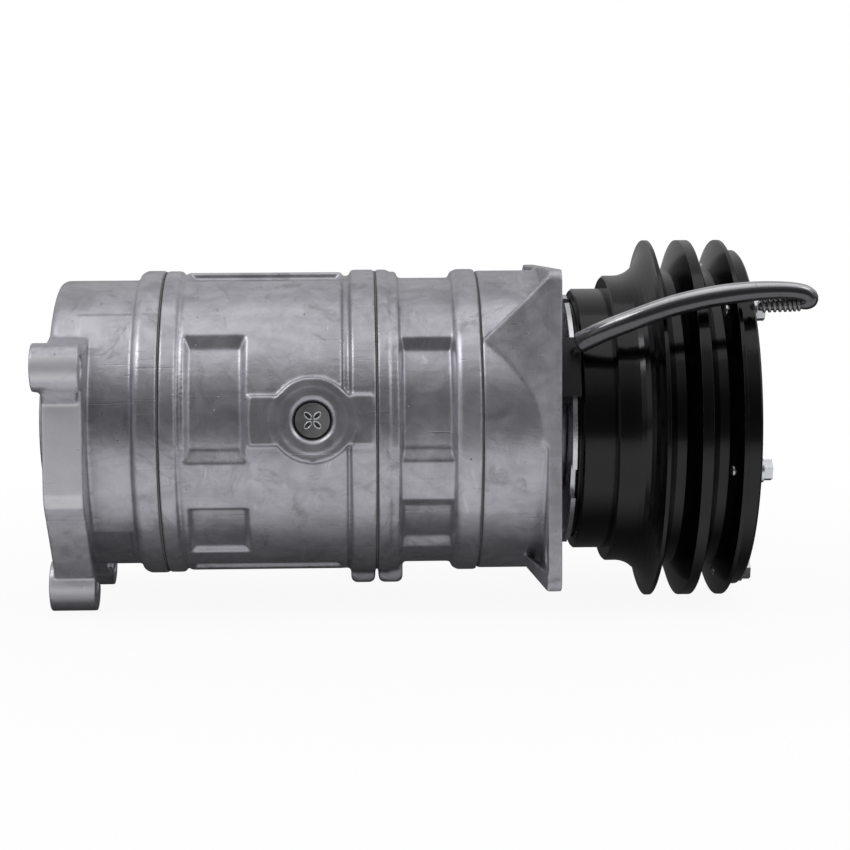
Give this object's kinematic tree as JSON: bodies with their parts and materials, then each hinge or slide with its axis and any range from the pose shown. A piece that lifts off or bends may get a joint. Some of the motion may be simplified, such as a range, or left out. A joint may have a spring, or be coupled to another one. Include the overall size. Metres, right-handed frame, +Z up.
{
  "type": "automotive air-conditioning compressor",
  "caption": "Cylindrical belt-driven refrigerant compressor in cast aluminium with a square front mounting plate and a black two-groove clutch pulley.",
  "frame": {"origin": "shaft axis at the front face of the square mounting plate", "axes": "+X along the shaft towards the pulley, +Z up, -Y towards the side that carries the oil plug and the coil lead"},
  "size_m": [0.3166, 0.1748, 0.152],
  "materials": {
    "cast_alloy": "satin die-cast aluminium with faint flow marks",
    "black_paint": "gloss black paint",
    "bright_zinc": "bright zinc plate",
    "bare_steel": "ground steel",
    "dark_steel": "dark oiled steel",
    "seal_rubber": "matt black rubber",
    "gasket_sheet": "grey pressed gasket sheet",
    "black_nylon": "black moulded nylon",
    "lead_sheath": "glossy black sleeving",
    "piston_alloy": "turned aluminium",
    "ring_polymer": "dark filled polymer"
  },
  "bodies": {
    "casing": {"front_head": "cast_alloy", "front_cylinder_block": "cast_alloy", "rear_cylinder_block": "cast_alloy", "rear_head": "cast_alloy", "front_joint_gasket": "gasket_sheet", "centre_joint_gasket": "gasket_sheet", "rear_joint_gasket": "gasket_sheet", "front_valve_plate": "bare_steel", "rear_valve_plate": "bare_steel", "front_suction_reed": "bare_steel", "rear_suction_reed": "bare_steel", "front_discharge_reed": "bare_steel", "rear_discharge_reed": "bare_steel", "through_bolts": "bright_zinc", "bolt_washers": "bright_zinc", "oil_plug": "dark_steel", "oil_plug_seal": "seal_rubber", "front_needle_bearing": "bare_steel", "rear_needle_bearing": "bare_steel", "front_thrust_bearing": "bare_steel", "rear_thrust_bearing": "bare_steel", "seal_seat": "dark_steel", "seal_snap_ring": "dark_steel", "coil_plate": "bright_zinc", "field_coil": "black_paint", "coil_snap_ring": "dark_steel", "coil_terminal": "black_nylon", "coil_lead": "black_nylon", "lead_sleeve": "lead_sheath", "bearing_inner_ring": "bare_steel", "bearing_balls": "bare_steel", "bearing_snap_ring": "dark_steel"},
    "shaft_group": {"drive_shaft": "bare_steel", "swash_plate": "bare_steel", "shaft_key": "bare_steel", "shaft_seal": "seal_rubber", "clutch_hub": "bare_steel", "leaf_springs": "bare_steel", "hub_nut": "bright_zinc"},
    "pulley_group": {"rotor": "black_paint", "pulley": "black_paint", "pulley_screws": "bright_zinc", "bearing_outer_ring": "bare_steel"},
    "clutch_plate_group": {"clutch_plate": "black_paint", "clutch_rivets": "bright_zinc"},
    "piston_1_group": {"piston_1": "piston_alloy", "piston_rings_1": "ring_polymer", "shoes_1": "bare_steel"},
    "piston_2_group": {"piston_2": "piston_alloy", "piston_rings_2": "ring_polymer", "shoes_2": "bare_steel"},
    "piston_3_group": {"piston_3": "piston_alloy", "piston_rings_3": "ring_polymer", "shoes_3": "bare_steel"},
    "piston_4_group": {"piston_4": "piston_alloy", "piston_rings_4": "ring_polymer", "shoes_4": "bare_steel"},
    "piston_5_group": {"piston_5": "piston_alloy", "piston_rings_5": "ring_polymer", "shoes_5": "bare_steel"}
  },
  "joints": [
    {"name": "pulley_spin", "type": "hinge", "parent": "casing", "child": "pulley_group", "pos_m": [0.05, 0, 0], "axis": [1, 0, 0], "continuous": true},
    {"name": "shaft_spin", "type": "hinge", "parent": "casing", "child": "shaft_group", "pos_m": [0.05, 0, 0], "axis": [1, 0, 0], "continuous": true},
    {"name": "clutch_engage", "type": "slide", "parent": "shaft_group", "child": "clutch_plate_group", "axis": [-1, 0, 0], "range_m": [0, 0.00045]},
    {"name": "piston_1_stroke", "type": "slide", "parent": "casing", "child": "piston_1_group", "axis": [1, 0, 0], "range_m": [-0.01178, 0.00622]},
    {"name": "piston_2_stroke", "type": "slide", "parent": "casing", "child": "piston_2_group", "axis": [1, 0, 0], "range_m": [-0.018, 0]},
    {"name": "piston_3_stroke", "type": "slide", "parent": "casing", "child": "piston_3_group", "axis": [1, 0, 0], "range_m": [-0.01178, 0.00622]},
    {"name": "piston_4_stroke", "type": "slide", "parent": "casing", "child": "piston_4_group", "axis": [1, 0, 0], "range_m": [-0.00172, 0.01628]},
    {"name": "piston_5_stroke", "type": "slide", "parent": "casing", "child": "piston_5_group", "axis": [1, 0, 0], "range_m": [-0.00172, 0.01628]}
  ]
}
